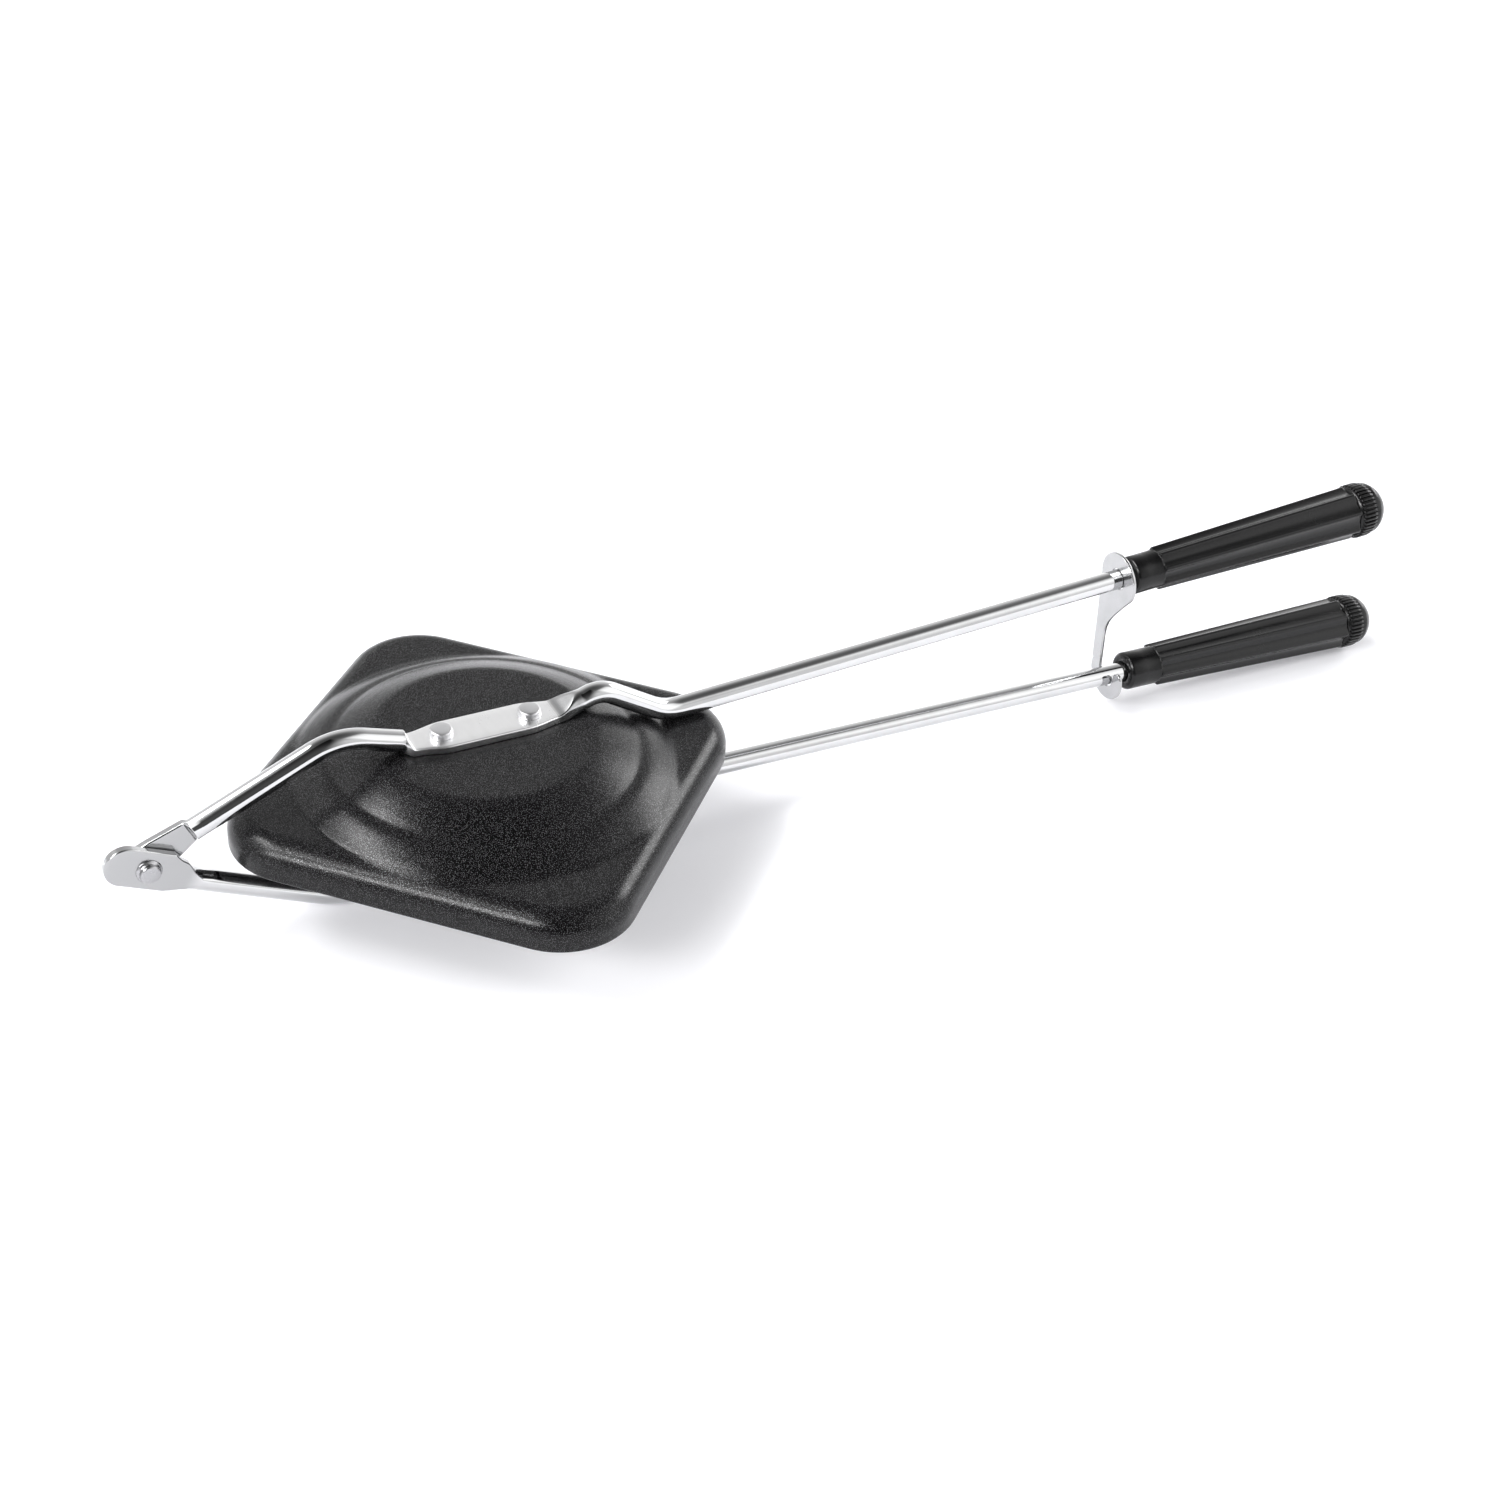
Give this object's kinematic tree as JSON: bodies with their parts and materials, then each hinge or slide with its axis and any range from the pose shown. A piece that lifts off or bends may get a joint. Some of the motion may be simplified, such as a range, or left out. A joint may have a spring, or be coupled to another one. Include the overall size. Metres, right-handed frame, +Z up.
{
  "type": "pie iron",
  "caption": "Long-handled pie iron: square domed non-stick plates on hinged chrome rods, fluted black grips and a swinging hook that holds it shut.",
  "frame": {"origin": "centre of the closed iron's footprint, on the surface it lies on", "axes": "+X from the hinge towards the grips, +Y across the plates, +Z up, square to the plates' parting plane"},
  "size_m": [0.4796, 0.164, 0.0708],
  "materials": {
    "coating": "matte non-stick coating with a fine metallic fleck",
    "chrome": "bright plated",
    "rivet_steel": "bright, lightly worn",
    "hook_steel": "satin",
    "bakelite": "satin black",
    "brass": "turned"
  },
  "bodies": {
    "lower_half": {"lower_plate": "coating", "lower_rod": "chrome", "lower_plate_rivets": "rivet_steel", "hinge_rivet": "rivet_steel", "hinge_washer": "rivet_steel", "lower_grip": "bakelite", "lower_end_cap": "bakelite", "lower_cap_insert": "brass", "lower_washer": "rivet_steel"},
    "upper_half": {"upper_plate": "coating", "upper_rod": "chrome", "upper_plate_rivets": "rivet_steel", "upper_grip": "bakelite", "upper_end_cap": "bakelite", "upper_cap_insert": "brass", "upper_washer": "rivet_steel"},
    "hook": {"latch_hook": "hook_steel"}
  },
  "joints": [
    {"name": "main_hinge", "type": "hinge", "parent": "lower_half", "child": "upper_half", "pos_m": [-0.22741, 0, 0.03238], "axis": [0, -1, 0], "range_deg": [0, 180]},
    {"name": "hook_swing", "type": "hinge", "parent": "upper_half", "child": "hook", "pos_m": [0.11748, 0, 0.05452], "axis": [0.9982, 0, 0.0593], "continuous": true}
  ]
}
